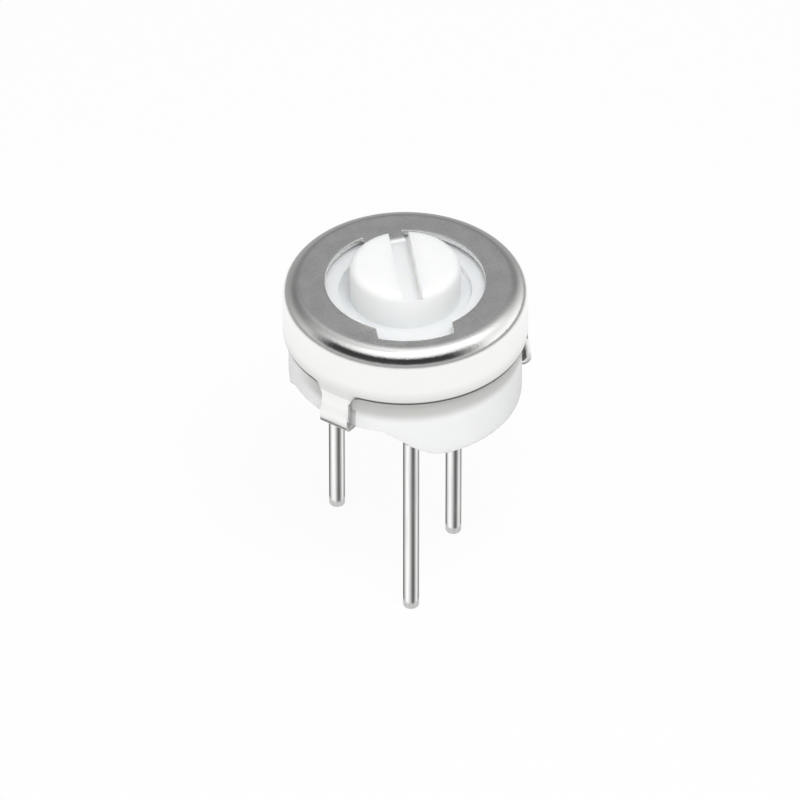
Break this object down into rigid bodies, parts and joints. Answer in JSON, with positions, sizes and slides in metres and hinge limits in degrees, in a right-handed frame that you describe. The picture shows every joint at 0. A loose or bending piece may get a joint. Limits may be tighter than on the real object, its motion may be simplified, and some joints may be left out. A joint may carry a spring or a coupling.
{
  "type": "trimmer potentiometer",
  "caption": "Round single-turn trimmer potentiometer with a crimped metal can, a slotted white rotor, a white base with feet and round leads.",
  "frame": {"origin": "on the rotor's axis, in the seating plane of the feet", "axes": "+Z along the rotor's axis out of the slotted face, +X from the axis towards lead 2, lead 1 on the +Y side"},
  "size_m": [0.0071, 0.0071, 0.0104],
  "materials": {
    "can_metal": "satin drawn sheet",
    "base_white": "moulded, soft gloss",
    "adhesive": "cured film",
    "ceramic": "fired ceramic",
    "resistive_ink": "fired print",
    "conductor_ink": "fired metal print",
    "tinned_wire": "bright tinned",
    "solder": "satin solder",
    "seal_rubber": "smooth silicone",
    "rotor_white": "moulded, soft gloss",
    "spring_metal": "rolled spring strip",
    "brush_metal": "drawn precious-metal wire"
  },
  "bodies": {
    "housing": {"metal_cap": "can_metal", "base": "base_white", "disc_adhesive": "adhesive", "ceramic_disc": "ceramic", "resistive_track": "resistive_ink", "collector_conductor": "conductor_ink", "end_conductor_1": "conductor_ink", "end_conductor_3": "conductor_ink", "lead_1": "tinned_wire", "lead_2": "tinned_wire", "lead_3": "tinned_wire", "solder_joint_1": "solder", "solder_joint_2": "solder", "solder_joint_3": "solder", "seal_ring": "seal_rubber"},
    "adjuster": {"rotor": "rotor_white", "wiper_carrier": "spring_metal", "track_brush": "brush_metal", "collector_brush": "brush_metal"}
  },
  "joints": [
    {"name": "rotor_turn", "type": "hinge", "parent": "housing", "child": "adjuster", "pos_m": [0, 0, 0.0033], "axis": [0, 0, -1], "range_deg": [0, 270]}
  ]
}
